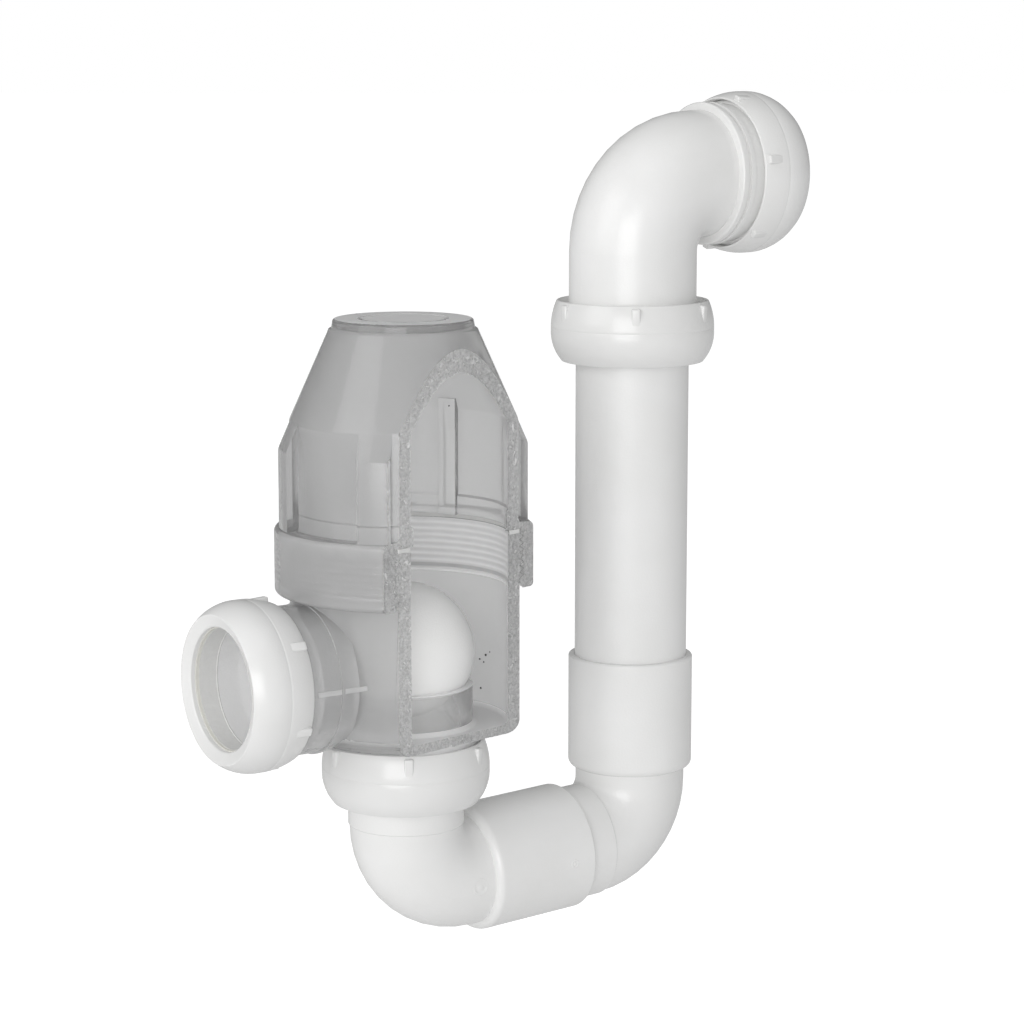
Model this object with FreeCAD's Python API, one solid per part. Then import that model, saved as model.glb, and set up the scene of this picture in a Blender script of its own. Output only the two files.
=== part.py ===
# Washing machine standpipe trap: a translucent bottle with a ball valve, sawn open
# on one side, with compression nuts, a U-bend, a riser pipe and an inlet elbow.
# The run of the U-bend falls a little towards the bottle, so its two elbows differ.
# Millimetres. +Z is up, +X runs from the bottle to the riser.
# The origin is in the middle of the outlet socket's bore, on its axis.
import FreeCAD
import Part

import math
import os

V = FreeCAD.Vector

# Pipe and plain sockets
pipe_r = 21.5
pipe_wall = 2.2
joint_gap = 0.1
socket_wall = 2.3
socket_depth = 40.0
socket_lip_radius = 0.9
shoulder_fill = 0.95
shoulder_length = 4.0

# Elbows of the U-bend
bend_tube_r = 21.0
bend_bore_r = 18.6
bend_inner_radius = 1.0
shoulder_lead = 4.0
spigot_step = 0.5
run_fall = 2.5

# Nut: every distance in a compression end runs from the closed face of its nut
nut_height = 25.0
nut_max_r = 31.0
nut_max_height = 13.0
nut_face_r = 26.2
nut_face_rim = 0.8
nut_entry_r = 29.4
nut_entry_chamfer = 0.6
nut_hole_r = 22.3
nut_hole_bevel = 2.0
nut_wall = 3.5
nut_bore_r = 28.0
grip_count = 6
grip_width = 3.6
grip_length = 7.0
grip_r = 31.2
grip_root_depth = 1.5

# Slip ring and seal
stack_gap = 0.05
slip_ring_r = 27.2
slip_ring_thickness = 1.2
slip_ring_hole_r = 21.9
seal_hole_r = 21.75
seal_back_thickness = 3.4
seal_taper_length = 3.6
seal_clearance = 0.2

# Threaded socket that the seal is pressed into
male_face_gap = 0.1
male_bore_r = 21.75
male_mouth_r = 25.6
male_mouth_chamfer = 4.0
male_lip_chamfer = 0.6
male_thread_r = 27.6
male_thread_depth = 0.9
male_thread_pitch = 3.0
male_thread_turns = 4
male_thread_lead = 1.0

# Shape of one thread ridge, as shares of its pitch
ridge_foot_share = 0.1
crest_start_share = 0.45
crest_end_share = 0.65
ridge_end_share = 0.98

# Trap body
body_r = 42.0
body_wall = 4.0
body_floor = 3.5
body_bottom_z = -25.5
body_rim_z = 48.5
body_edge_radius = 4.5
chamber_edge_radius = 2.0
cup_r = 24.8
cup_bore_r = 21.6
cup_rim_z = -7.0
cup_rim_radius = 0.4
cup_foot = 1.5
seat_bevel = 0.8
floor_hole_r = 19.3
floor_stop = 1.5
outlet_reach = 57.2
outlet_socket_length = 18.0
outlet_passage_r = 19.5
branch_r = 27.0
branch_line_width = 1.2
branch_line_height = 0.5

# Neck thread and screw cap
neck_thread_start_z = 31.5
neck_thread_pitch = 2.4
neck_thread_turns = 7
neck_thread_depth = 1.2
neck_root_below_thread = 0.2
thread_gap = 0.2
cap_r = 41.5
cap_wall = 3.5
collar_wall = 4.0
collar_bottom_z = 28.0
collar_top_z = 52.0
collar_foot_radius = 1.5
collar_edge_radius = 2.0
collar_slope = 3.0
collar_entry_chamfer = 1.0
cap_seal_thickness = 1.5
cap_seal_inset = 0.3
seal_land_top_z = 57.0
seal_land_wall = 0.8
collar_shoulder = 0.5
collar_shoulder_rise = 0.6
cap_top_z = 127.2
cap_top_r = 25.4
cap_top_radius = 1.2
cap_step_depth = 3.5
cap_step_width = 1.5
cap_step_radius = 0.8
cap_plinth = 0.6
cap_plinth_radius = 0.5
cap_lip_height = 1.5
cap_lip_spread = 0.6
cap_roof_radius = 1.5
cone_slope = 0.444
cone_foot_radius = 4.0
cone_foot_inner_radius = 3.0
cap_ring_r = 16.5
cap_ring_width = 1.4
cap_ring_depth = 0.6
wing_count = 6
wing_rise = 4.3
wing_width = 12.0
wing_phase = 44.0
guide_count = 3
guide_width = 7.0
guide_depth = 3.0
guide_phase = 31.0
guide_top_z = 94.0

# The flat slice sawn off the bottle and its cap
slice_distance = 29.3
slice_direction = -79.0

# Ball
ball_r = 25.4
ball_wall = 2.0
seat_gap = 0.1

# Inlet elbow: a threaded socket down, and a flanged one to the side of the riser
inlet_bend_radius = 28.0
inlet_tube_r = 24.2
inlet_bore_r = 20.9
inlet_socket_length = 18.0
flange_r = 27.2
flange_start = 30.0
flange_thickness = 2.2
flange_ring_start = 26.6
flange_ring_thickness = 1.6
flange_groove = 1.2

# Places of the fittings
bottle_corner_z = -82.9
riser_spacing = 102.7
bottom_nut_z = -51.0
riser_nut_z = 105.3
inlet_z = 175.0
inlet_reach = 63.9
upright_nut_spin = 0.0
outlet_nut_spin = 24.0
inlet_nut_spin = 6.0

# Worked out from the above
pipe_bore_r = pipe_r - pipe_wall
slip_ring_start = nut_wall + stack_gap
seal_start = slip_ring_start + slip_ring_thickness + stack_gap
seal_front = seal_start + seal_back_thickness
male_face = seal_front + male_face_gap
male_bore_start = male_face + male_mouth_chamfer
male_thread_start = male_face + male_thread_lead
male_root_r = male_thread_r - male_thread_depth
male_end = male_thread_start + male_thread_turns * male_thread_pitch
socket_bore_r = pipe_r + joint_gap
socket_outer_r = socket_bore_r + socket_wall
bend_radius = bend_tube_r + bend_inner_radius
shoulder_radius = shoulder_fill * (socket_outer_r - bend_tube_r)
elbow_socket_start = bend_radius + shoulder_lead
socket_stop = elbow_socket_start + shoulder_length
elbow_socket_end = socket_stop + socket_depth
body_inner_r = body_r - body_wall
floor_top_z = body_bottom_z + body_floor
nut_face_x = -(male_bore_start + 0.5 * outlet_socket_length)
bottle_x = outlet_reach
riser_x = bottle_x + riser_spacing
riser_corner_z = bottle_corner_z + riser_spacing * math.tan(math.radians(run_fall))
run_length = riser_spacing / math.cos(math.radians(run_fall))
neck_crest_r = body_r + neck_thread_depth
neck_thread_end_z = neck_thread_start_z + neck_thread_turns * neck_thread_pitch
cap_step_z = cap_top_z - cap_step_depth
cap_step_r = cap_top_r + cap_step_width
cap_cone_top_z = cap_step_z - cap_lip_height
cap_cone_top_r = cap_step_r + cap_lip_spread
cap_inner_r = cap_r - cap_wall
cap_seal_z = body_rim_z + stack_gap
shoulder_z = cap_seal_z + cap_seal_thickness + stack_gap
collar_bore_r = body_r + thread_gap
collar_r = neck_crest_r + thread_gap + collar_wall
overrun = 1.0


def turned(corners):
    """Solid turned about Z from corners (r, z) or (r, z, rounding)."""
    points = [V(c[0], 0, c[1]) for c in corners]
    roundings = [c[2] if len(c) > 2 else 0.0 for c in corners]
    edges = []
    ends = []
    for i, at in enumerate(points):
        if roundings[i] == 0.0:
            ends.append((at, at))
            continue
        to_before = (points[i - 1] - at).normalize()
        to_after = (points[(i + 1) % len(points)] - at).normalize()
        half = 0.5 * to_before.getAngle(to_after)
        inward = (to_before + to_after).normalize()
        centre = at + inward * (roundings[i] / math.sin(half))
        first = at + to_before * (roundings[i] / math.tan(half))
        last = at + to_after * (roundings[i] / math.tan(half))
        edges.append(Part.Arc(first, centre - inward * roundings[i], last).toShape())
        ends.append((first, last))
    for i in range(len(points)):
        start = ends[i][1]
        stop = ends[(i + 1) % len(points)][0]
        if (stop - start).Length > 1e-6:
            edges.append(Part.LineSegment(start, stop).toShape())
    wire = Part.Wire(Part.__sortEdges__(edges))
    return Part.Face(wire).revolve(V(0, 0, 0), V(0, 0, 1), 360)


def tube(outer_r, inner_r, z0, z1):
    return turned([(inner_r, z0), (outer_r, z0), (outer_r, z1), (inner_r, z1)])


def rod(radius, z0, z1):
    return Part.makeCylinder(radius, z1 - z0, V(0, 0, z0))


def placed(shape, point, direction=V(0, 0, 1), spin=0.0):
    """Copy with its Z axis turned to a direction and its origin at a point."""
    copy = shape.copy()
    turn = FreeCAD.Rotation(V(0, 0, 1), direction)
    turn = turn.multiply(FreeCAD.Rotation(V(0, 0, 1), spin))
    copy.Placement = FreeCAD.Placement(point, turn)
    return copy


def bars_around(count, phase, inner_r, outer_r, width, z0, z1):
    """Upright bars of a given width, evenly spaced about Z."""
    bars = []
    for k in range(count):
        bar = Part.makeBox(outer_r - inner_r, width, z1 - z0, V(inner_r, -0.5 * width, z0))
        bar.rotate(V(0, 0, 0), V(0, 0, 1), phase + k * 360.0 / count)
        bars.append(bar)
    return bars


def ridges(root_r, crest_r, z0, pitch, turns):
    """Corners of a thread's ridges, drawn as rings, from z0 upwards."""
    corners = []
    for turn in range(turns):
        base = z0 + turn * pitch
        corners.append((root_r, base + ridge_foot_share * pitch))
        corners.append((crest_r, base + crest_start_share * pitch))
        corners.append((crest_r, base + crest_end_share * pitch))
        corners.append((root_r, base + ridge_end_share * pitch))
    return corners


def bend_start(radius, turn):
    """Distance from the corner of the axes to where a bend begins."""
    return radius * math.tan(math.radians(0.5 * turn))


def bend(tube_r, radius, turn):
    """Rod that comes down Z and turns towards +X about a corner at the origin."""
    start = bend_start(radius, turn)
    ring = Part.Wire(Part.makeCircle(tube_r, V(0, 0, start), V(0, 0, 1)))
    return Part.Face(ring).revolve(V(radius, 0, start), V(0, -1, 0), turn)


def onward(turn):
    """Direction of an elbow's second leg, after it came down Z."""
    return V(math.sin(math.radians(turn)), 0, -math.cos(math.radians(turn)))


# Compression fitting, drawn upright with the closed face of the nut at z = 0

def barrel_arc(end_r, end_z):
    """Arc of the nut's barrel from its widest ring, where it is upright, to one end."""
    height = end_z - nut_max_height
    rise = nut_max_r - end_r
    radius = (height ** 2 + rise ** 2) / (2 * rise)
    half = 0.5 * math.asin(abs(height) / radius)
    side = math.copysign(1, height)
    middle = V(
        nut_max_r - radius * (1 - math.cos(half)), 0, nut_max_height + side * radius * math.sin(half)
    )
    return Part.Arc(V(nut_max_r, 0, nut_max_height), middle, V(end_r, 0, end_z)).toShape()


def nut_outside():
    """Barrel of the nut: two arcs that meet at its widest ring."""
    foot = V(0, 0, 0)
    top = V(0, 0, nut_height)
    edges = [
        Part.LineSegment(foot, V(nut_face_r, 0, 0)).toShape(),
        barrel_arc(nut_face_r, 0),
        barrel_arc(nut_entry_r, nut_height),
        Part.LineSegment(V(nut_entry_r, 0, nut_height), top).toShape(),
        Part.LineSegment(top, foot).toShape(),
    ]
    wire = Part.Wire(Part.__sortEdges__(edges))
    return Part.Face(wire).revolve(V(0, 0, 0), V(0, 0, 1), 360)


def nut_inside():
    """Space inside the nut: bevelled pipe hole, then the threaded bore."""
    bevel_r = nut_face_r - nut_face_rim
    return turned([
        (0, -overrun),
        (bevel_r, -overrun),
        (bevel_r, 0),
        (nut_hole_r, nut_hole_bevel),
        (nut_hole_r, nut_wall),
        (nut_bore_r, nut_wall),
        (nut_bore_r, nut_height - nut_entry_chamfer),
        (nut_bore_r + nut_entry_chamfer, nut_height),
        (nut_bore_r + nut_entry_chamfer, nut_height + overrun),
        (0, nut_height + overrun),
    ])


def nut():
    grip_start = nut_height - grip_length
    grip_root_r = nut_entry_r - grip_root_depth
    grip_ring = tube(grip_r, grip_root_r, grip_start, nut_height)
    grips = bars_around(grip_count, 0, 0, 2 * grip_r, grip_width, grip_start, nut_height)
    solid = nut_outside().fuse([bar.common(grip_ring) for bar in grips])
    return solid.cut(nut_inside()).removeSplitter()


def slip_ring():
    end = slip_ring_start + slip_ring_thickness
    return tube(slip_ring_r, slip_ring_hole_r, slip_ring_start, end)


def seal():
    """Rubber ring with a flat back and a taper that enters the socket's mouth."""
    slope = (male_mouth_r - male_bore_r) / male_mouth_chamfer
    wide_r = male_mouth_r + slope * male_face_gap - seal_clearance
    tip_r = wide_r - slope * seal_taper_length
    return turned([
        (seal_hole_r, seal_start),
        (slip_ring_r, seal_start),
        (slip_ring_r, seal_front),
        (wide_r, seal_front),
        (tip_r, seal_front + seal_taper_length),
        (seal_hole_r, seal_front + seal_taper_length),
    ])


def threaded_rod(length):
    """Outside of a threaded socket, from its mouth to a given length."""
    corners = [
        (0, male_face),
        (male_root_r - male_lip_chamfer, male_face),
        (male_root_r, male_face + male_lip_chamfer),
    ]
    corners += ridges(
        male_root_r, male_thread_r, male_thread_start, male_thread_pitch, male_thread_turns
    )
    corners += [(male_root_r, length), (0, length)]
    return turned(corners)


def socket_space(stop):
    """Space of a threaded socket: tapered mouth, then the pipe's bore to its stop."""
    return turned([
        (0, male_face - overrun),
        (male_mouth_r, male_face - overrun),
        (male_mouth_r, male_face),
        (male_bore_r, male_bore_start),
        (male_bore_r, stop),
        (0, stop),
    ])


def fitting(name, point, direction, spin):
    """The nut, slip ring and seal of one compression end."""
    return {
        name + "_nut": placed(nut(), point, direction, spin),
        name + "_slip_ring": placed(slip_ring(), point, direction),
        name + "_seal": placed(seal(), point, direction),
    }


# Elbows and pipe, drawn with the corner of their axes at the origin

def plain_elbow(spigot_end, turn):
    """Elbow with a plain end up +Z and a plain socket that turns towards +X."""
    start = bend_start(bend_radius, turn)
    spigot = turned([
        (0, start),
        (bend_tube_r, start),
        (pipe_r, start + spigot_step),
        (pipe_r, spigot_end, socket_lip_radius),
        (0, spigot_end),
    ])
    socket = turned([
        (0, start),
        (bend_tube_r, start),
        (bend_tube_r, elbow_socket_start),
        (socket_outer_r, elbow_socket_start, shoulder_radius),
        (socket_outer_r, elbow_socket_end, socket_lip_radius),
        (0, elbow_socket_end),
    ])
    corner = V(0, 0, 0)
    away = onward(turn)
    solid = bend(bend_tube_r, bend_radius, turn).fuse([spigot, placed(socket, corner, away)])
    up_bore = rod(bend_bore_r, start, spigot_end + overrun)
    side_bore = rod(bend_bore_r, start, socket_stop + overrun)
    pocket = rod(socket_bore_r, socket_stop, elbow_socket_end + overrun)
    solid = solid.cut([
        bend(bend_bore_r, bend_radius, turn),
        up_bore,
        placed(side_bore, corner, away),
        placed(pocket, corner, away),
    ])
    return solid.removeSplitter()


def inlet_flange():
    """Stop ring and a thinner second ring behind a thread, from the nut's face."""
    groove_r = flange_r - flange_groove
    ring_end = flange_ring_start + flange_ring_thickness
    flange_end = flange_start + flange_thickness
    return turned([
        (0, male_end - overrun),
        (male_root_r, male_end - overrun),
        (groove_r, flange_ring_start),
        (flange_r, flange_ring_start),
        (flange_r, ring_end),
        (groove_r, ring_end),
        (groove_r, flange_start),
        (flange_r, flange_start),
        (flange_r, flange_end, 0.3 * flange_thickness),
        (0, flange_end),
    ])


def threaded_elbow(up_reach, side_reach):
    """Elbow with a flanged threaded socket up +Z and a plain threaded one along +X."""
    corner = V(0, 0, 0)
    solid = bend(inlet_tube_r, inlet_bend_radius, 90)
    bore = bend(inlet_bore_r, inlet_bend_radius, 90)
    for reach, direction in ((up_reach, V(0, 0, 1)), (side_reach, V(1, 0, 0))):
        leg = rod(inlet_tube_r, inlet_bend_radius, reach - male_end + overrun)
        threaded = placed(threaded_rod(male_end), direction * reach, -direction)
        solid = solid.fuse([placed(leg, corner, direction), threaded])
        space = socket_space(male_bore_start + inlet_socket_length)
        waterway = rod(inlet_bore_r, inlet_bend_radius, reach - male_bore_start)
        bore = bore.fuse([
            placed(space, direction * reach, -direction),
            placed(waterway, corner, direction),
        ])
    flange = placed(inlet_flange(), V(0, 0, up_reach), V(0, 0, -1))
    return solid.fuse(flange).cut(bore).removeSplitter()


# Bottle and cap, drawn about Z through the origin and then moved to the bottle's axis

def slice_block():
    """Everything that the saw took off, beyond a flat upright plane."""
    size = 4 * collar_r
    block = Part.makeBox(size, size, 2 * size, V(slice_distance, -0.5 * size, -size))
    block.rotate(V(0, 0, 0), V(0, 0, 1), slice_direction)
    return block


def seat_cup():
    """Cup that stands on the floor; the ball rests on the bevel inside its rim."""
    return turned([
        (cup_bore_r, floor_top_z - overrun),
        (cup_r + cup_foot, floor_top_z - overrun),
        (cup_r + cup_foot, floor_top_z),
        (cup_r, floor_top_z + cup_foot),
        (cup_r, cup_rim_z, cup_rim_radius),
        (cup_bore_r + seat_bevel, cup_rim_z),
        (cup_bore_r, cup_rim_z - 2 * seat_bevel),
    ])


def trap_body():
    """Bottle with a seat cup, a threaded neck, a bottom spigot and an outlet branch."""
    sideways = V(1, 0, 0)
    outlet_face = V(nut_face_x - bottle_x, 0, 0)
    wall_from_face = bottle_x - nut_face_x - body_r
    inside_from_face = wall_from_face + body_wall
    floor_from_face = body_bottom_z - bottom_nut_z
    outside = [
        (0, body_bottom_z),
        (body_r, body_bottom_z, body_edge_radius),
        (body_r, neck_thread_start_z - neck_root_below_thread),
    ]
    outside += ridges(
        body_r, neck_crest_r, neck_thread_start_z, neck_thread_pitch, neck_thread_turns
    )
    outside += [(body_r, body_rim_z), (0, body_rim_z)]
    chamber = turned([
        (0, floor_top_z),
        (body_inner_r, floor_top_z, chamber_edge_radius),
        (body_inner_r, body_rim_z + overrun),
        (0, body_rim_z + overrun),
    ])
    spigot = placed(threaded_rod(floor_from_face + 0.5 * body_floor), V(0, 0, bottom_nut_z))
    branch = rod(branch_r, male_end - overrun, inside_from_face + 0.5 * body_wall)
    line = rod(branch_r + branch_line_height, wall_from_face - branch_line_width, wall_from_face)
    branch = threaded_rod(male_end).fuse([branch, line])
    solid = turned(outside).fuse([spigot, placed(branch, outlet_face, sideways)])
    solid = solid.cut(chamber).fuse(seat_cup())
    bottom_socket = socket_space(floor_from_face + floor_stop)
    outlet_stop = male_bore_start + outlet_socket_length
    passage = rod(outlet_passage_r, outlet_stop - overrun, inside_from_face + body_wall)
    return solid.cut([
        placed(bottom_socket, V(0, 0, bottom_nut_z)),
        rod(floor_hole_r, body_bottom_z, floor_top_z + overrun),
        placed(socket_space(outlet_stop), outlet_face, sideways),
        placed(passage, outlet_face, sideways),
        slice_block(),
    ])


def cap_envelope(drum_r):
    """Outside of the cap: a drum, a cone, and a stepped flat top."""
    cone_foot_z = cap_cone_top_z - (drum_r - cap_cone_top_r) / cone_slope
    return turned([
        (0, collar_top_z - collar_edge_radius),
        (drum_r, collar_top_z - collar_edge_radius),
        (drum_r, cone_foot_z, cone_foot_radius),
        (cap_cone_top_r, cap_cone_top_z),
        (cap_step_r, cap_step_z, cap_step_radius),
        (cap_top_r + cap_plinth, cap_step_z, cap_plinth_radius),
        (cap_top_r, cap_top_z, cap_top_radius),
        (0, cap_top_z),
    ])


def cap_hollow():
    """Space in the cap: a land that the seal sits against, a drum and a cone."""
    land_r = cap_inner_r - seal_land_wall
    across_wall = cap_wall * math.sqrt(1 + cone_slope ** 2)
    top_z = cap_top_z - cap_wall
    top_r = cap_cone_top_r - across_wall - (top_z - cap_cone_top_z) * cone_slope
    cone_foot_z = top_z - (cap_inner_r - top_r) / cone_slope
    return turned([
        (0, shoulder_z - overrun),
        (land_r, shoulder_z - overrun),
        (land_r, seal_land_top_z),
        (cap_inner_r, seal_land_top_z + seal_land_wall),
        (cap_inner_r, cone_foot_z, cone_foot_inner_radius),
        (top_r, top_z, cap_roof_radius),
        (0, top_z),
    ])


def collar_hollow():
    """Threaded space of the collar: the neck's thread with a gap all round."""
    corners = [
        (0, collar_bottom_z - overrun),
        (collar_bore_r + collar_entry_chamfer, collar_bottom_z - overrun),
        (collar_bore_r + collar_entry_chamfer, collar_bottom_z),
        (collar_bore_r, collar_bottom_z + collar_entry_chamfer),
    ]
    corners += ridges(
        collar_bore_r,
        neck_crest_r + thread_gap,
        neck_thread_start_z,
        neck_thread_pitch,
        neck_thread_turns,
    )
    corners += [(collar_bore_r, shoulder_z), (0, shoulder_z)]
    return turned(corners)


def trap_cap():
    """Screw cap with outside wings, a threaded collar and guide ribs for the ball."""
    low = collar_top_z - overrun
    wing_r = cap_r + wing_rise
    wings = bars_around(wing_count, wing_phase, cap_inner_r, wing_r, wing_width, low, cap_top_z)
    wing_shape = cap_envelope(wing_r)
    collar = turned([
        (0, collar_bottom_z),
        (collar_r, collar_bottom_z, collar_foot_radius),
        (collar_r, collar_top_z, collar_edge_radius),
        (cap_r + collar_shoulder, collar_top_z + collar_shoulder_rise),
        (cap_r - collar_shoulder, collar_top_z + collar_slope),
        (0, collar_top_z + collar_slope),
    ])
    ring_inner_r = cap_ring_r - cap_ring_width
    ring_groove = tube(cap_ring_r, ring_inner_r, cap_top_z - cap_ring_depth, cap_top_z + overrun)
    guides = bars_around(
        guide_count,
        guide_phase,
        cap_inner_r - guide_depth,
        cap_inner_r + 0.5 * cap_wall,
        guide_width,
        shoulder_z,
        guide_top_z,
    )
    solid = cap_envelope(cap_r).fuse([wing.common(wing_shape) for wing in wings] + [collar])
    solid = solid.cut([cap_hollow(), collar_hollow(), ring_groove])
    return solid.fuse(guides).cut(slice_block()).removeSplitter()


def cap_seal():
    inner_r = body_inner_r + cap_seal_inset
    return tube(body_r, inner_r, cap_seal_z, cap_seal_z + cap_seal_thickness).cut(slice_block())


def float_ball():
    """Hollow ball that rests a small gap above the middle of the seat's bevel."""
    contact_r = cup_bore_r + 0.5 * seat_bevel
    contact_z = cup_rim_z - seat_bevel
    centre_z = contact_z + math.sqrt(ball_r ** 2 - contact_r ** 2) + seat_gap
    centre = V(bottle_x, 0, centre_z)
    return Part.makeSphere(ball_r, centre).cut(Part.makeSphere(ball_r - ball_wall, centre))


def riser_pipe():
    low = riser_corner_z + socket_stop + joint_gap
    high = riser_nut_z + male_bore_start + inlet_socket_length - joint_gap
    return placed(tube(pipe_r, pipe_bore_r, low, high), V(riser_x, 0, 0))


def turned_about_y(shape, point, degrees):
    copy = shape.copy()
    copy.Placement = FreeCAD.Placement(point, FreeCAD.Rotation(V(0, 1, 0), degrees))
    return copy


def build():
    """All pieces by name, each in its place."""
    on_bottle = V(bottle_x, 0, 0)
    bottle_spigot_end = body_bottom_z + floor_stop - joint_gap - bottle_corner_z
    riser_spigot_end = run_length - socket_stop - joint_gap
    bottle_elbow = plain_elbow(bottle_spigot_end, 90 + run_fall)
    riser_elbow = plain_elbow(riser_spigot_end, 90 - run_fall)
    inlet_elbow = threaded_elbow(inlet_reach, inlet_z - riser_nut_z)
    up = V(0, 0, 1)
    return {
        "trap_body": placed(trap_body(), on_bottle),
        "trap_cap": placed(trap_cap(), on_bottle),
        "cap_seal": placed(cap_seal(), on_bottle),
        "float_ball": float_ball(),
        "bottle_elbow": placed(bottle_elbow, V(bottle_x, 0, bottle_corner_z)),
        "riser_elbow": turned_about_y(riser_elbow, V(riser_x, 0, riser_corner_z), -90 - run_fall),
        "riser_pipe": riser_pipe(),
        "inlet_elbow": turned_about_y(inlet_elbow, V(riser_x, 0, inlet_z), 90),
        **fitting("outlet", V(nut_face_x, 0, 0), V(1, 0, 0), outlet_nut_spin),
        **fitting("bottom", V(bottle_x, 0, bottom_nut_z), up, upright_nut_spin),
        **fitting("riser", V(riser_x, 0, riser_nut_z), up, upright_nut_spin),
        **fitting("inlet", V(riser_x + inlet_reach, 0, inlet_z), V(-1, 0, 0), inlet_nut_spin),
    }


os.makedirs("parts", exist_ok=True)
for name, piece in build().items():
    solids = piece.Solids
    print(name, "solids", len(solids), "volume", round(piece.Volume, 1), "valid", piece.isValid())
    shape = solids[0] if len(solids) == 1 else piece
    shape.exportStep("parts/" + name + ".step")
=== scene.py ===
# %% [markdown]
# # A washing machine standpipe trap
# The trap is a cut-open shop sample: a translucent bottle holds a loose white ball on a seat,
# and white fittings carry the waste water round a U-bend, up a riser and in from an elbow.
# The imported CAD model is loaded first. It is the fixed frame: every piece that is made here
# is built in the same metres and in the same place, and rides on one of its bodies.

import math

import bmesh
import bpy
from mathutils import Matrix, Vector, noise


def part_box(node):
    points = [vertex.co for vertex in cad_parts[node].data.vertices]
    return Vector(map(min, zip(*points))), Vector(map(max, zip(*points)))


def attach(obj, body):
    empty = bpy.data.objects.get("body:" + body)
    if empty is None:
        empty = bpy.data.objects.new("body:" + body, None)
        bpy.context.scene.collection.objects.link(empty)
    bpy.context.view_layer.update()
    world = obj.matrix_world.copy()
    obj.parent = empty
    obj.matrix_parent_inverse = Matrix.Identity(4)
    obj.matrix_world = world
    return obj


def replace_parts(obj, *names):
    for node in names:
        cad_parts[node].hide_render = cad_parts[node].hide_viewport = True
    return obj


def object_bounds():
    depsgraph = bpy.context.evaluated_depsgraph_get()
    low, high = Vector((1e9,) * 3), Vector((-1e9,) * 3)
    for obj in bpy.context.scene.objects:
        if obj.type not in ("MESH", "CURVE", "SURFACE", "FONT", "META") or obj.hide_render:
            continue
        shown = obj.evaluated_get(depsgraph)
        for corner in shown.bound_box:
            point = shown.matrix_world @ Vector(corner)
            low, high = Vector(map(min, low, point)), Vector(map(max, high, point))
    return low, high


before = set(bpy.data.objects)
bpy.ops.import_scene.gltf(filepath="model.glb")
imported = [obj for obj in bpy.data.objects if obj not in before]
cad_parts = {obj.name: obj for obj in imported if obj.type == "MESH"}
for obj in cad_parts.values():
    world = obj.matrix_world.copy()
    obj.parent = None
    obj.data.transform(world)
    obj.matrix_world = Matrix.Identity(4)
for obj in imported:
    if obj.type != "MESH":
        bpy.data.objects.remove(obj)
cad_low, cad_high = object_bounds()
print("CAD box", [round(v, 4) for v in cad_low], [round(v, 4) for v in cad_high])

BOTTLE_X = 0.5 * (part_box("float_ball")[0].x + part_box("float_ball")[1].x)
RISER_X = 0.5 * (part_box("riser_pipe")[0].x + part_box("riser_pipe")[1].x)
INLET_Z = 0.5 * (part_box("inlet_nut")[0].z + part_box("inlet_nut")[1].z)
print("axes: bottle x", round(BOTTLE_X, 4), "riser x", round(RISER_X, 4), "inlet z", round(INLET_Z, 4))

# %% [markdown]
# ## Camera
# The photograph was taken with a long lens from the front left, a little above the piece.
# Azimuth and elevation give the line of sight, and the target is the point that falls in
# the middle of the square picture.

# %% The camera at the photograph's angle
TARGET = Vector((0.1044, -0.0003, 0.0520))
AZIMUTH = math.radians(-34.22)
ELEVATION = math.radians(9.49)
DISTANCE = 1.10
SENSOR = 36.0
LENS = 103.69


def from_angles(azimuth, elevation):
    """Unit vector that points from the object to a camera or a lamp."""
    level = math.cos(elevation)
    return Vector((math.sin(azimuth) * level, -math.cos(azimuth) * level, math.sin(elevation)))


camera_data = bpy.data.cameras.new("photo_camera")
camera_data.lens = LENS
camera_data.sensor_width = SENSOR
camera_data.clip_start = 0.05
camera_data.clip_end = 20.0
camera = bpy.data.objects.new("photo_camera", camera_data)
bpy.context.scene.collection.objects.link(camera)
camera.location = TARGET + DISTANCE * from_angles(AZIMUTH, ELEVATION)
camera.rotation_euler = (TARGET - camera.location).to_track_quat("-Z", "Y").to_euler()
bpy.context.scene.camera = camera
print("camera at", [round(v, 3) for v in camera.location])

# %% [markdown]
# ## Shader maths in plain Python
# Materials are easier to read when they are written as sums and products. A small class
# wraps one socket and overloads the operators, so that `1 - value` adds a Math node. A second
# class holds one material and adds every other kind of node through a single method.

# %% A wrapped socket and a material
class Value:
    """One output socket of a material, for use in Python arithmetic."""

    def __init__(self, finish, socket):
        self.finish = finish
        self.socket = socket

    def maths(self, operation, *others):
        return self.finish.node("ShaderNodeMath", {"operation": operation}, *others)

    def __add__(self, other):
        return self.maths("ADD", self, other)

    def __sub__(self, other):
        return self.maths("SUBTRACT", self, other)

    def __rsub__(self, other):
        return self.maths("SUBTRACT", other, self)

    def __mul__(self, other):
        return self.maths("MULTIPLY", self, other)

    def __abs__(self):
        return self.maths("ABSOLUTE", self)

    __radd__ = __add__
    __rmul__ = __mul__


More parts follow.
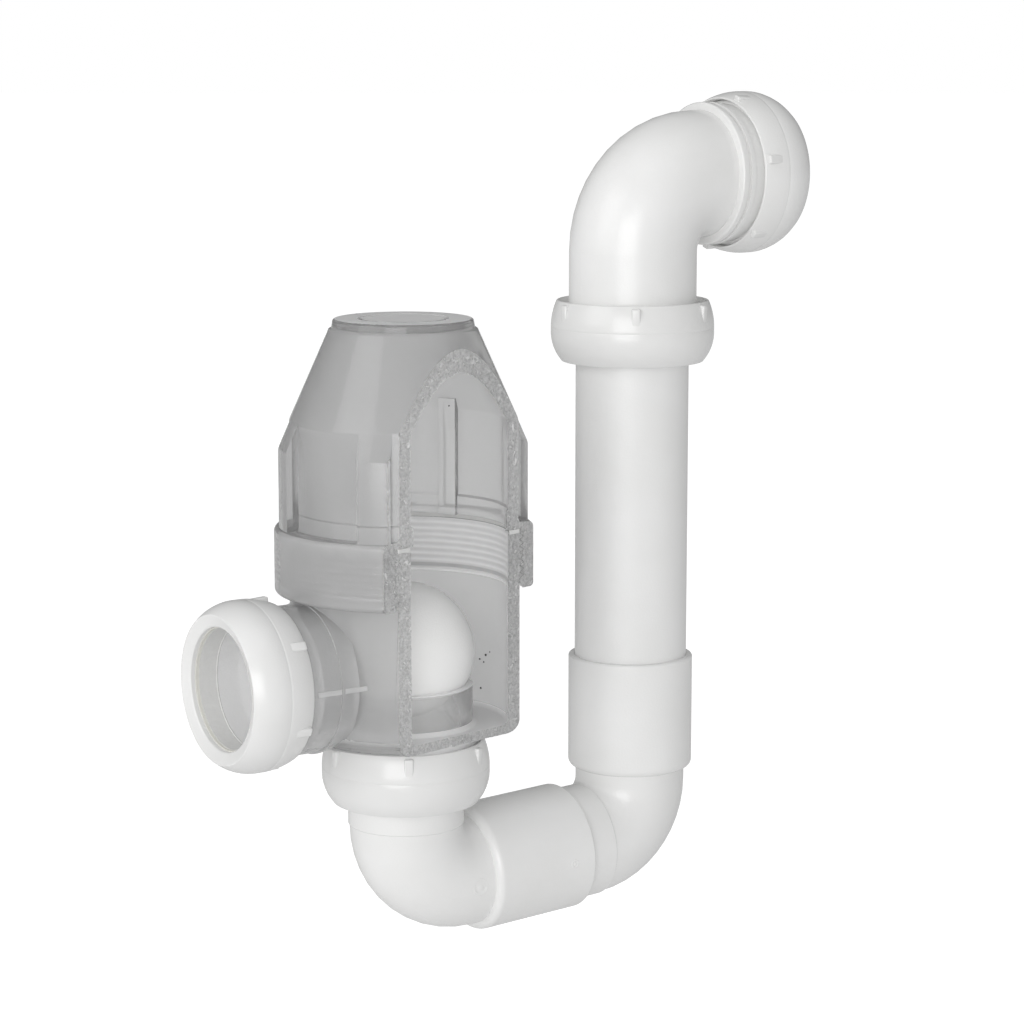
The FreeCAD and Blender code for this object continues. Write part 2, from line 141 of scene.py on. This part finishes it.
class Finish:
    """One material: a Principled shader, and the nodes that feed it."""

    def __init__(self, name, **constants):
        self.material = bpy.data.materials.new(name)
        self.material.use_nodes = True
        self.nodes = self.material.node_tree.nodes
        self.links = self.material.node_tree.links
        self.shader = self.nodes["Principled BSDF"]
        self.set(**constants)

    def set(self, **values):
        """Sets or links the shader's sockets: base_color is Base Color."""
        for word, value in values.items():
            self.plug(self.shader.inputs[word.replace("_", " ").title().replace("Ior", "IOR")], value)

    def plug(self, socket, value):
        if isinstance(value, Value):
            self.links.new(value.socket, socket)
        elif socket.type == "RGBA" and len(value) == 3:
            socket.default_value = (*value, 1.0)
        else:
            socket.default_value = value

    def node(self, kind, settings=None, *values, out=0, **named):
        """Adds a node: its settings first, then its inputs in order or by name."""
        made = self.nodes.new(kind)
        for word, value in (settings or {}).items():
            setattr(made, word, value)
        for socket, value in zip(made.inputs, values):
            self.plug(socket, value)
        for word, value in named.items():
            self.plug(made.inputs[word.replace("_", " ")], value)
        return Value(self, made.outputs[out])

    def place(self):
        """The point in the object's own metres."""
        return self.node("ShaderNodeTexCoord", out="Object")

    def speckle(self, scale, detail=2.0, rough=0.5):
        """Cloudy noise: scale is how many clouds fit in a metre."""
        return self.node(
            "ShaderNodeTexNoise", None, Vector=self.place(), Scale=scale, Detail=detail, Roughness=rough
        )

    def ramp(self, value, low, high, to_low, to_high):
        """Maps low..high to to_low..to_high and clamps outside."""
        return self.node("ShaderNodeMapRange", {"clamp": True}, value, low, high, to_low, to_high)

    def blend(self, factor, first, second):
        """Mixes two colours."""
        made = self.nodes.new("ShaderNodeMix")
        made.data_type = "RGBA"
        self.plug(made.inputs[0], factor)
        self.plug(made.inputs[6], first)
        self.plug(made.inputs[7], second)
        return Value(self, made.outputs[2])

    def bump(self, height, distance):
        """A relief: distance is its full height in metres."""
        return self.node("ShaderNodeBump", None, Height=height, Distance=distance, Strength=1.0)


# %% [markdown]
# ## Studio
# The photograph shows the piece on plain white, with a soft light from the upper left. The
# real part hangs on its outlet pipe, so the floor lies well below it. Large area lamps give
# soft edges. The world is white to the eye, but it lights the piece only as a dim grey, so
# that the sides of the white pipes keep their shading. Through the translucent bottle it
# looks like a real studio behind the piece, which isn't lit up to white. A mirror image of
# it is darker again, which gives the glossy plastic its dark outlines. The floor glows a
# little, so that it stays as pale far off as near by. Half of the front light casts no
# shadow: it stands for what a milky wall lets through to the ball behind it.

# %% Floor, lamps and world
FLOOR_DROP = 0.16
FLOOR_SIZE = 60.0
FLOOR_TONE = 0.50
FLOOR_GLOW = (0.80, 0.30, 0.40, 0.25)
SKY_GLOW = (1.0, 0.50, 0.66, 0.22)


def glow(tree, seen, cast, through, mirrored):
    """A strength for the eye, for the light it casts, through the bottle, and in a gloss."""
    ray = tree.nodes.new("ShaderNodeLightPath")
    total = cast
    kinds = {"Is Camera Ray": seen, "Is Transmission Ray": through, "Is Glossy Ray": mirrored}
    for kind, strength in kinds.items():
        part = tree.nodes.new("ShaderNodeMath")
        part.operation = "MULTIPLY_ADD"
        tree.links.new(ray.outputs[kind], part.inputs[0])
        part.inputs[1].default_value = strength - cast
        if total is cast:
            part.inputs[2].default_value = cast
        else:
            tree.links.new(total, part.inputs[2])
        total = part.outputs[0]
    return total


def lamp(name, azimuth, elevation, distance, size, power, shadow=True):
    """A square softbox that looks at the target."""
    data = bpy.data.lights.new(name, "AREA")
    data.use_shadow = shadow
    data.size = size
    data.energy = power
    box = bpy.data.objects.new(name, data)
    away = from_angles(math.radians(azimuth), math.radians(elevation))
    box.location = TARGET + distance * away
    box.rotation_euler = (-away).to_track_quat("-Z", "Y").to_euler()
    bpy.context.scene.collection.objects.link(box)


floor_mesh = bmesh.new()
bmesh.ops.create_grid(floor_mesh, x_segments=1, y_segments=1, size=0.5 * FLOOR_SIZE)
floor_centre = (TARGET.x, TARGET.y, cad_low.z - FLOOR_DROP)
bmesh.ops.translate(floor_mesh, verts=floor_mesh.verts, vec=floor_centre)
floor_data = bpy.data.meshes.new("floor")
floor_mesh.to_mesh(floor_data)
floor_mesh.free()
floor = bpy.data.objects.new("floor", floor_data)
bpy.context.scene.collection.objects.link(floor)
paper = Finish("floor_paper", specular_ior_level=0.0, roughness=0.9, emission_color=(1.0, 1.0, 1.0))
clouding = paper.speckle(3.0, detail=4.0)
paper.set(base_color=paper.blend(clouding, [FLOOR_TONE] * 3, [0.96 * FLOOR_TONE] * 3))
paper_glow = glow(paper.material.node_tree, *FLOOR_GLOW)
paper.links.new(paper_glow, paper.shader.inputs["Emission Strength"])
floor_data.materials.append(paper.material)

lamp("key_softbox", -90, 26, 3.0, 2.0, 20.0)
lamp("top_softbox", -20, 78, 2.0, 1.6, 2.5)
lamp("front_softbox", -46, 6, 3.0, 1.8, 22.0)
lamp("inner_fill", -46, 8, 3.0, 1.8, 19.0, shadow=False)
world = bpy.data.worlds.new("studio")
world.use_nodes = True
background = world.node_tree.nodes["Background"]
background.inputs["Color"].default_value = (1, 1, 1, 1)
world.node_tree.links.new(glow(world.node_tree, *SKY_GLOW), background.inputs["Strength"])
bpy.context.scene.world = world
bpy.context.scene.view_settings.view_transform = "Standard"

# %% [markdown]
# ## White moulded plastic
# The pipe, the elbows and the nuts are the same white plastic. It is nearly smooth: a soft
# gloss, a very fine grain from the mould, and slight clouding. The nuts came from a more
# polished mould, so they shine more. One recipe makes both, with other numbers.

# %% White plastics
def white_plastic(name, tone, gloss, grain):
    """Opaque white plastic: tone is its brightness, gloss its smoothness, grain its relief."""
    finish = Finish(name, ior=1.5)
    cloud = finish.speckle(28.0, detail=3.0)
    grit = finish.speckle(1400.0, detail=2.0)
    clean = [tone, tone, tone * 0.995]
    dull = [tone * 0.95, tone * 0.95, tone * 0.94]
    finish.set(
        base_color=finish.blend(finish.ramp(cloud, 0.35, 0.7, 0.0, 1.0), clean, dull),
        roughness=gloss + 0.08 * cloud + 0.05 * grit,
        normal=finish.bump(grit + 0.4 * finish.speckle(420.0), grain),
    )
    return finish.material


FITTING_WHITE = white_plastic("fitting_white", 0.83, 0.18, 0.00005)
NUT_WHITE = white_plastic("nut_white", 0.80, 0.14, 0.00003)
PIPE_WHITE = white_plastic("pipe_white", 0.82, 0.30, 0.00006)
BALL_WHITE = white_plastic("ball_white", 0.92, 0.50, 0.00008)
print("white finishes ready")

# %% [markdown]
# ## Translucent bottle plastic
# The bottle and its cap are milky grey: what touches the wall from behind shows clearly, and
# what lies further back is only a soft patch. That is a mix of a rough, refracting body and
# a plain grey surface, which a Principled shader gives through its transmission weight.

# %% Bottle plastic and sawn plastic
RING_PITCH = 0.0024
RING_PHASE = 0.8
CAP_FOOT_HIGHLIGHT_Z = 0.0287
CAP_SHADE_Z = 0.0303


def bottle_plastic(name, tone, gloss, clear):
    """Milky translucent plastic: clear is the share of light that goes through."""
    finish = Finish(name, ior=1.4, transmission_weight=clear)
    cloud = finish.speckle(35.0, detail=4.0)
    grit = finish.speckle(900.0)
    finish.set(
        base_color=finish.blend(cloud, [tone] * 3, [tone + 0.05] * 3),
        roughness=gloss + 0.08 * cloud,
        normal=finish.bump(grit, 0.00004),
    )
    return finish.material


def painted_ring_light_plastic(name):
    """The neck's wall, with painted highlights for the thread's rings and the cap's foot behind it, and
    a band of painted shade above the foot.
    """
    finish = Finish(name, ior=1.4, transmission_weight=0.05)
    height = finish.node("ShaderNodeSeparateXYZ", None, finish.place(), out=2)
    turn = height * (2 * math.pi / RING_PITCH) - RING_PHASE
    # Bright stripes at the thread's pitch are painted highlights of the rings behind the wall; they
    # also raise a relief.
    ring = 0.5 + 0.5 * finish.node("ShaderNodeMath", {"operation": "SINE"}, turn)
    # A painted highlight along the cap's foot, and a band of painted shade just above it.
    foot = finish.ramp(abs(height - CAP_FOOT_HIGHLIGHT_Z), 0.0006, 0.0009, 1.0, 0.0)
    shade = finish.ramp(abs(height - CAP_SHADE_Z), 0.0005, 0.0009, 1.0, 0.0)
    # The wall's colour is painted light: bright rings, the painted shade band and the painted highlight
    # at the foot.
    walls = finish.blend(ring, (0.84, 0.84, 0.84), (1.0, 1.0, 1.0))
    walls = finish.blend(shade, walls, (0.60, 0.60, 0.60))
    finish.set(
        base_color=finish.blend(foot, walls, (1.0, 1.0, 1.0)),
        roughness=0.30 + 0.05 * finish.speckle(900.0),
        normal=finish.bump(ring + foot, 0.0004),
    )
    return finish.material


def sawn_plastic(name):
    """The same plastic where the saw tore it: rough and dull, with painted shade in the pits of its
    grain, and small bright burrs that are partly painted glints.
    """
    finish = Finish(name, ior=1.4, transmission_weight=0.35)
    grain = finish.speckle(900.0, detail=5.0, rough=0.8)
    # White specks: whitened burrs, and painted glints where the torn edge would catch the light.
    burrs_and_glints = finish.ramp(finish.speckle(500.0, detail=1.0), 0.62, 0.68, 0.0, 1.0)
    # The grain's own tone, made darker in its low pits as painted shade.
    grain_tone_and_pit_shade = finish.ramp(grain, 0.3, 0.7, 0.0, 1.0)
    torn = finish.blend(grain_tone_and_pit_shade, (0.42, 0.42, 0.42), (0.95, 0.95, 0.95))
    finish.set(
        base_color=finish.blend(burrs_and_glints, torn, (1.0, 1.0, 1.0)),
        roughness=0.70 - 0.4 * burrs_and_glints,
        normal=finish.bump(grain + burrs_and_glints, 0.0005),
    )
    return finish.material


BOTTLE = bottle_plastic("bottle_translucent", 0.60, 0.09, 0.78)
COLLAR = bottle_plastic("bottle_collar", 0.68, 0.12, 0.63)
# A lighter copy for the inner faces: painted light for what comes in through the walls.
INSIDE_PAINTED_LIGHT = bottle_plastic("bottle_inside_painted_light", 0.86, 0.10, 0.54)
# A paler, less clear copy of the bottle plastic: painted light on the cap's top, in the outlet socket
# and at the bottom of the bottle.
PALE_PAINTED_LIGHT = bottle_plastic("bottle_pale_painted_light", 0.93, 0.25, 0.25)
CLEAR = bottle_plastic("bottle_clear", 0.90, 0.05, 0.76)
RINGS_PAINTED_LIGHT = painted_ring_light_plastic("bottle_rings_painted_light")
SAWN = sawn_plastic("bottle_sawn")

# %% [markdown]
# ## Small parts
# Seals are a pale soft rubber and slip rings a cream nylon. Both lie inside the nuts, and only
# their edges can be seen through the outlet and in the nuts' gaps.

# %% Seal and slip ring finishes
def soft_part(name, colour, roughness):
    """A dull part of one colour, with a fine grain."""
    finish = Finish(name, ior=1.5)
    grit = finish.speckle(600.0)
    finish.set(
        base_color=finish.blend(grit, colour, [0.9 * share for share in colour]),
        roughness=roughness + 0.1 * grit,
        normal=finish.bump(grit, 0.00005),
    )
    return finish.material


SEAL_RUBBER = soft_part("seal_rubber", (0.74, 0.74, 0.73), 0.55)
RING_NYLON = soft_part("ring_nylon", (0.78, 0.77, 0.72), 0.40)

# %% [markdown]
# ## Dress the pieces that keep their CAD shape
# The elbows, the riser pipe, the ball, the seals and the slip rings are smooth turned or bent
# shapes, and the CAD mesh already has them right. They keep that mesh and only get a finish.

# %% Finishes of the kept pieces
KEPT = {
    "bottle_elbow": FITTING_WHITE,
    "riser_elbow": FITTING_WHITE,
    "inlet_elbow": FITTING_WHITE,
    "riser_pipe": PIPE_WHITE,
    "float_ball": BALL_WHITE,
    "cap_seal": SEAL_RUBBER,
}
for end in ("outlet", "bottom", "riser", "inlet"):
    KEPT[end + "_seal"] = SEAL_RUBBER
    KEPT[end + "_slip_ring"] = RING_NYLON

for name, finish in KEPT.items():
    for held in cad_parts[name].material_slots:
        held.material = finish
print("kept", sorted(KEPT))

# %% [markdown]
# ## A lathe
# Most of this object is round. A lathe draws half of a cross-section as a wire, rounds its
# corners with a vertex bevel, and spins it once round. Corners are given in millimetres, as
# on a drawing, and the third number is how far back along its edges a corner is cut.

# %% The lathe and the piece maker
MM = 0.001
ROUND_STEPS = 5
TURN_STEPS = 128
SHARP_ANGLE = math.radians(32)
UP = Vector((0, 0, 1))


def lathe(corners):
    """A solid about Z from corners (radius, height) or (radius, height, cut back)."""
    shape = bmesh.new()
    points = [shape.verts.new((corner[0] * MM, 0.0, corner[1] * MM)) for corner in corners]
    for start, stop in zip(points, points[1:] + points[:1]):
        if start.co.x or stop.co.x:
            shape.edges.new((start, stop))
    for point, corner in zip(points, corners):
        if len(corner) == 3:
            bmesh.ops.bevel(
                shape, geom=[point], offset=corner[2] * MM, segments=ROUND_STEPS, profile=0.5,
                affect="VERTICES", material=-1
            )
    bmesh.ops.spin(
        shape, geom=shape.verts[:] + shape.edges[:], cent=(0, 0, 0), axis=(0, 0, 1),
        angle=2 * math.pi, steps=TURN_STEPS, use_merge=True
    )
    bmesh.ops.remove_doubles(shape, verts=shape.verts[:], dist=1e-7)
    bmesh.ops.recalc_face_normals(shape, faces=shape.faces[:])
    return shape


def set_at(shape, point, direction, spin=0.0):
    """Turns a shape's Z axis to a direction and moves its origin to a point."""
    way = UP.rotation_difference(Vector(direction)).to_matrix().to_4x4()
    place = Matrix.Translation(Vector(point)) @ way @ Matrix.Rotation(math.radians(spin), 4, "Z")
    bmesh.ops.transform(shape, matrix=place, verts=shape.verts[:])


def finished(shape, name, body, slot, *finishes):
    """Makes an object of a bmesh: smooth but for its sharp edges, and riding on a body."""
    for face in shape.faces:
        face.smooth = True
    for edge in shape.edges:
        edge.smooth = edge.calc_face_angle(0.0) < SHARP_ANGLE
    mesh = bpy.data.meshes.new(name)
    shape.to_mesh(mesh)
    shape.free()
    made = bpy.data.objects.new(name, mesh)
    bpy.context.scene.collection.objects.link(made)
    for finish in finishes:
        mesh.materials.append(finish)
    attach(made, body)
    print(name, "faces", len(mesh.polygons))
    return made


# %% [markdown]
# ## Compression nuts
# Four equal nuts hold the joints. A nut is a barrel with a shallow cone round the hole in its
# closed face, an open threaded end with a domed lip, and six short ribs there for the grip of
# a hand. The barrel is turned on the lathe, with the fine line where the mould's halves met.
# The ribs are cubes with bevelled edges, tilted so that their inner ends sink into the barrel.

# %% Four nuts
NUT_HEIGHT = 23.2
NUT_LIP_R = 28.8
NUT_WIDEST_R = 31.0
NUT_WIDEST_Z = 13.0
NUT_BORE_R = 28.0
RIB_TOP_R = 30.9
RIB_SIZE = (2.6, 3.4, 7.4)
RIB_END = NUT_HEIGHT - 0.8
RIB_TILT = math.radians(3.0)
RIB_COUNT = 6
THREAD_PITCH = 3.0
THREAD_TURNS = 5
THREAD_DEPTH = 0.25

nut_outline = [
    (22.3, 3.5),
    (22.3, 1.8, 0.15),
    (22.8, 1.4, 0.1),
    (26.2, 0.2, 0.1),
    (26.9, 0.0, 0.25),
    (NUT_WIDEST_R, 5.6, 4.6),
    (NUT_WIDEST_R, NUT_WIDEST_Z - 0.12),
    (NUT_WIDEST_R - 0.04, NUT_WIDEST_Z),
    (NUT_WIDEST_R, NUT_WIDEST_Z + 0.12),
    (NUT_WIDEST_R, NUT_HEIGHT - 4.8, 4.6),
    (NUT_LIP_R, NUT_HEIGHT, 0.4),
    (NUT_BORE_R + 0.3, NUT_HEIGHT),
    (NUT_BORE_R, NUT_HEIGHT - 0.5),
]
for ridge in range(THREAD_TURNS):
    foot = NUT_HEIGHT - 2.0 - ridge * THREAD_PITCH
    crest = (NUT_BORE_R - THREAD_DEPTH, foot - 1.0)
    nut_outline += [(NUT_BORE_R, foot), crest, (NUT_BORE_R, foot - 2.0)]
nut_outline.append((NUT_BORE_R, 3.5, 0.4))


def rib(shape, angle):
    """One rounded rib at the open end, turned to its place on the barrel."""
    corners = bmesh.ops.create_cube(shape, size=MM)["verts"]
    bmesh.ops.scale(shape, vec=RIB_SIZE, verts=corners)
    bmesh.ops.rotate(shape, cent=(0, 0, 0), matrix=Matrix.Rotation(RIB_TILT, 3, "Y"), verts=corners)
    middle = Vector((RIB_TOP_R - 0.5 * RIB_SIZE[0], 0.0, RIB_END - 0.5 * RIB_SIZE[2])) * MM
    bmesh.ops.translate(shape, vec=middle, verts=corners)
    bmesh.ops.rotate(shape, cent=(0, 0, 0), matrix=Matrix.Rotation(angle, 3, "Z"), verts=corners)
    edges = list({edge for corner in corners for edge in corner.link_edges})
    bmesh.ops.bevel(
        shape, geom=edges, offset=0.7 * MM, segments=4, profile=0.5, affect="EDGES", material=-1
    )


def nut(name, body, point, direction, spin):
    """A nut whose closed face is at a point and whose open end looks along a direction."""
    shape = lathe(nut_outline)
    for k in range(RIB_COUNT):
        rib(shape, 2 * math.pi * k / RIB_COUNT)
    set_at(shape, point, direction, spin)
    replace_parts(finished(shape, name + "_moulded", body, "white_plastic", NUT_WHITE), name)


nut("outlet_nut", "trap", (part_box("outlet_nut")[0].x, 0, 0), (1, 0, 0), 54)
nut("bottom_nut", "trap", (BOTTLE_X, 0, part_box("bottom_nut")[0].z), (0, 0, 1), 0)
nut("riser_nut", "inlet", (RISER_X, 0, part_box("riser_nut")[0].z), (0, 0, 1), -4)
nut("inlet_nut", "inlet", (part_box("inlet_nut")[1].x, 0, INLET_Z), (-1, 0, 0), 42)

# %% [markdown]
# ## The bottle and cap, sawn open
# A flat saw cut opens the bottle and its cap. The round walls are right in the CAD mesh, but
# the cut itself is torn and grainy. A merged copy of each mesh takes their place: its cut
# faces are divided into small squares, pushed in at random by a fraction of a millimetre, and
# given the sawn finish. At the rim of the cut a point only slides along the wall that it
# borders, so that the walls stay smooth. Other faces get a finish by where they lie: the neck
# shows its thread as painted bright rings, the seat cup is clear, the inner faces are painted
# lighter, and the outlet socket, the bottom of the bottle and the cap's top are painted paler
# and less clear. These lighter copies are painted light.

# %% Sawn bottle and cap
SAW_NORMAL = Vector((math.cos(math.radians(-79)), math.sin(math.radians(-79)), 0.0))
SAW_DISTANCE = 0.0293
SAW_ALONG = Vector((-SAW_NORMAL.y, SAW_NORMAL.x, 0.0))
SAW_SQUARE = 0.0008
SAW_DEPTH = 0.0005
NECK_LOW = 0.0280
NECK_HIGH = 0.0484
CUP_RIM = -0.0068
CUP_R = 0.0252
BOTTLE_INNER_R = 0.0379
INSIDE_R = 0.0385
THREAD_R = 0.0370
CAP_TOP = 0.12715
COLLAR_TOP = 0.0520
COLLAR_R = 0.0462
BRANCH_FOOT = 0.0423
BRANCH_LOW_R = 0.0255
BRANCH_HIGH_R = 0.0285
CUP_FOOT = -0.0204
CUP_LIP = -0.0085
OUTLET_SOCKET_END = 0.0095
OUTLET_SOCKET_R = 0.0225

BOTTLE_FINISHES = (BOTTLE, INSIDE_PAINTED_LIGHT, PALE_PAINTED_LIGHT, CLEAR, RINGS_PAINTED_LIGHT, SAWN, COLLAR)
PLAIN, INNER, PALE_LIT, GLASSY, THREAD, TORN, THICK = range(len(BOTTLE_FINISHES))


def bottle_finish(face):
    """Which finish a face gets, by its number in BOTTLE_FINISHES."""
    middle = face.calc_center_median() - Vector((BOTTLE_X, 0, 0))
    level = middle.to_2d().length
    from_axis = middle.yz.length
    outward = face.normal.xy.dot(middle.xy)
    if face.normal.dot(SAW_NORMAL) > 0.999 and abs(middle.dot(SAW_NORMAL) - SAW_DISTANCE) < 1e-5:
        return TORN
    if NECK_LOW < middle.z < NECK_HIGH and THREAD_R < level < INSIDE_R:
        return THREAD
    if CUP_FOOT < middle.z < CUP_LIP and level < CUP_R:
        return GLASSY
    # The cap's top, the outlet socket and the bottom of the bottle are painted paler: painted light.
    if middle.z > CAP_TOP:
        return PALE_LIT
    if middle.x + BOTTLE_X < OUTLET_SOCKET_END and from_axis < OUTLET_SOCKET_R:
        return PALE_LIT
    if middle.z < CUP_RIM and level < BOTTLE_INNER_R:
        return PALE_LIT
    # Inner faces are painted lighter: painted light.
    if level < INSIDE_R and outward < 0:
        return INNER
    if level > COLLAR_R and NECK_LOW < middle.z < COLLAR_TOP and outward > 0:
        return THICK
    if level > BRANCH_FOOT and middle.x < 0 and BRANCH_LOW_R < from_axis < BRANCH_HIGH_R:
        return THICK
    return PLAIN


def divide(shape, faces, direction):
    """Cuts flat faces by planes one square apart, and returns all the small faces."""
    across = [corner.co.dot(direction) for face in faces for corner in face.verts]
    for step in range(int(min(across) / SAW_SQUARE), int(max(across) / SAW_SQUARE) + 1):
        edges = {edge for face in faces for edge in face.edges}
        corners = {corner for face in faces for corner in face.verts}
        cut = bmesh.ops.bisect_plane(
            shape, geom=[*faces, *edges, *corners], dist=1e-6,
            plane_co=direction * (step * SAW_SQUARE), plane_no=direction
        )
        faces = [part for part in cut["geom"] if isinstance(part, bmesh.types.BMFace)]
    return faces


def saw(node, name):
    """A copy of a CAD node with torn cut faces, and finishes that fit each place."""
    shape = bmesh.new()
    shape.from_mesh(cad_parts[node].data)
    bmesh.ops.remove_doubles(shape, verts=shape.verts[:], dist=1e-6)
    for height in (NECK_LOW, NECK_HIGH):
        bmesh.ops.bisect_plane(
            shape, geom=[*shape.faces, *shape.edges, *shape.verts], dist=1e-6,
            plane_co=UP * height, plane_no=UP
        )
    for face in shape.faces:
        face.material_index = bottle_finish(face)
    cut = [face for face in shape.faces if face.material_index == TORN]
    cut = divide(shape, divide(shape, cut, SAW_ALONG), UP)
    torn = {corner for face in cut for corner in face.verts}
    pushes = {}
    for corner in torn:
        pushes[corner] = -SAW_NORMAL
        sides = [face.normal for face in corner.link_faces if face.material_index != TORN]
        if sides:
            wall = sum(sides, Vector()).normalized()
            pushes[corner] = wall * SAW_NORMAL.dot(wall) - SAW_NORMAL
    for corner, push in pushes.items():
        corner.co += SAW_DEPTH * (0.5 + noise.noise(corner.co * 900)) * push
    made = finished(shape, name, "trap", "bottle_plastic", *BOTTLE_FINISHES)
    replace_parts(made, node)


saw("trap_body", "bottle_sawn_open")
saw("trap_cap", "cap_sawn_open")

# %% [markdown]
# ## Parting ridge of the outlet branch
# Where the halves of the bottle's mould met, a low flat ridge runs along the outlet branch on
# both sides. Each is a cube stretched to a bar, with its long edges bevelled, let into the
# branch.

# %% Ridges along the branch
BRANCH_R = 27.0
RIDGE_SIZE = (20.0, 0.8, 1.9)
RIDGE_X = 14.5
RIDGE_SINK = 0.25

ridges = bmesh.new()
for side in (-1, 1):
    bar = bmesh.ops.create_cube(ridges, size=MM)["verts"]
    bmesh.ops.scale(ridges, vec=RIDGE_SIZE, verts=bar)
    middle = Vector((RIDGE_X, side * (BRANCH_R - RIDGE_SINK), 0.0)) * MM
    bmesh.ops.translate(ridges, vec=middle, verts=bar)
bmesh.ops.bevel(
    ridges, geom=ridges.edges[:], offset=0.2 * MM, segments=3, profile=0.5, affect="EDGES",
    material=-1
)
# The ridges take the lighter inside finish, so they are painted paler than the branch: a painted
# highlight.
finished(ridges, "branch_ridges", "trap", "bottle_plastic", INSIDE_PAINTED_LIGHT)

# %% [markdown]
# ## Lip of the outlet's seal
# Through the open outlet the seal's front edge can be seen where it meets the mouth of the
# bore. Its thin rounded lip closes the gap between the two, and catches the light as an arc.

# %% Lip of the outlet seal
LIP_R = 21.95
LIP_X = -9.25
LIP_HALF = 0.35
LIP_ROUND = 0.3

lip_corners = ((-1, -1), (1, -1), (1, 1), (-1, 1))
lip = lathe([(LIP_R + a * LIP_HALF, LIP_X + b * LIP_HALF, LIP_ROUND) for a, b in lip_corners])
set_at(lip, (0, 0, 0), (1, 0, 0))
finished(lip, "outlet_seal_lip", "trap", "seal_rubber", SEAL_RUBBER)

# %% [markdown]
# ## Marks of the mould
# A mould leaves traces: a fine ring where the core for the straight end meets the core for the
# bend, and small round marks where plastic was let in or a pin pushed the piece out. They are
# about a tenth of a millimetre high at most, and each sits on the white surface that it marks.

# %% Mould rings and round marks on the elbows
BEND_TUBE_R = 21.0
BOTTLE_CORNER = Vector((57.2, 0.0, -82.9)) * MM
RISER_CORNER = Vector((159.9, 0.0, -78.42)) * MM
RUN = (RISER_CORNER - BOTTLE_CORNER).normalized()

mould_ring = [
    (BEND_TUBE_R - 0.3, -0.3),
    (BEND_TUBE_R + 0.01, -0.3),
    (BEND_TUBE_R + 0.07, 0.0),
    (BEND_TUBE_R + 0.01, 0.3),
    (BEND_TUBE_R - 0.3, 0.3),
]
gate_mark = [
    (0.0, -0.4), (1.7, -0.4), (1.7, 0.10, 0.08), (1.2, 0.10), (1.0, -0.03), (0.6, -0.03), (0.4, 0.12),
    (0.0, 0.12),
]
pin_mark = [
    (0.0, -0.5), (3.2, -0.5), (3.2, 0.02, 0.05), (2.6, 0.02), (2.4, -0.06), (1.3, -0.06), (1.1, 0.02),
    (0.0, 0.02),
]
marks = (
    ("bottle_bend_ring", mould_ring, BOTTLE_CORNER + 0.02298 * UP, UP),
    ("riser_bend_ring", mould_ring, RISER_CORNER - 0.02106 * RUN, RUN),
    ("gate_mark", gate_mark, Vector((117.2, -23.9, -80.2)) * MM, (0, -1, 0)),
    ("pin_mark", pin_mark, Vector((76.5, -21.0, -83.0)) * MM, (0, -1, 0)),
)
for name, outline, point, direction in marks:
    mark = lathe(outline)
    set_at(mark, point, direction)
    finished(mark, name, "u_bend", "white_plastic", FITTING_WHITE)

# %% [markdown]
# ## Grit in the bottle
# The sample is used: a few dark grains of dirt stick to the far wall of the bottle and to a
# guide rib of the cap. They are small uneven lumps, half sunk in the wall.

# %% Dirt specks
DIRT = soft_part("dirt", (0.05, 0.05, 0.05), 0.8)
WALL_R = 37.9
GUIDE_R = 34.9
GRAINS = (
    (5.0, -2.0, WALL_R, 0.45),
    (10.2, -4.1, WALL_R, 0.35),
    (6.8, -4.9, WALL_R, 0.30),
    (1.2, -0.4, WALL_R, 0.25),
    (9.4, -15.2, WALL_R, 0.38),
    (29.0, 91.3, GUIDE_R, 0.30),
)

dirt = bmesh.new()
for turn, height, level, size in GRAINS:
    way = Vector((math.cos(math.radians(turn)), math.sin(math.radians(turn)), 0))
    grain = bmesh.ops.create_icosphere(dirt, subdivisions=2, radius=size * MM)["verts"]
    for corner in grain:
        corner.co *= 1 + 0.35 * noise.noise(corner.co * 4000 + way)
    at = Vector((BOTTLE_X, 0, height * MM)) + level * MM * way
    bmesh.ops.translate(dirt, vec=at, verts=grain)
finished(dirt, "dirt_specks", "trap", "bottle_plastic", DIRT)
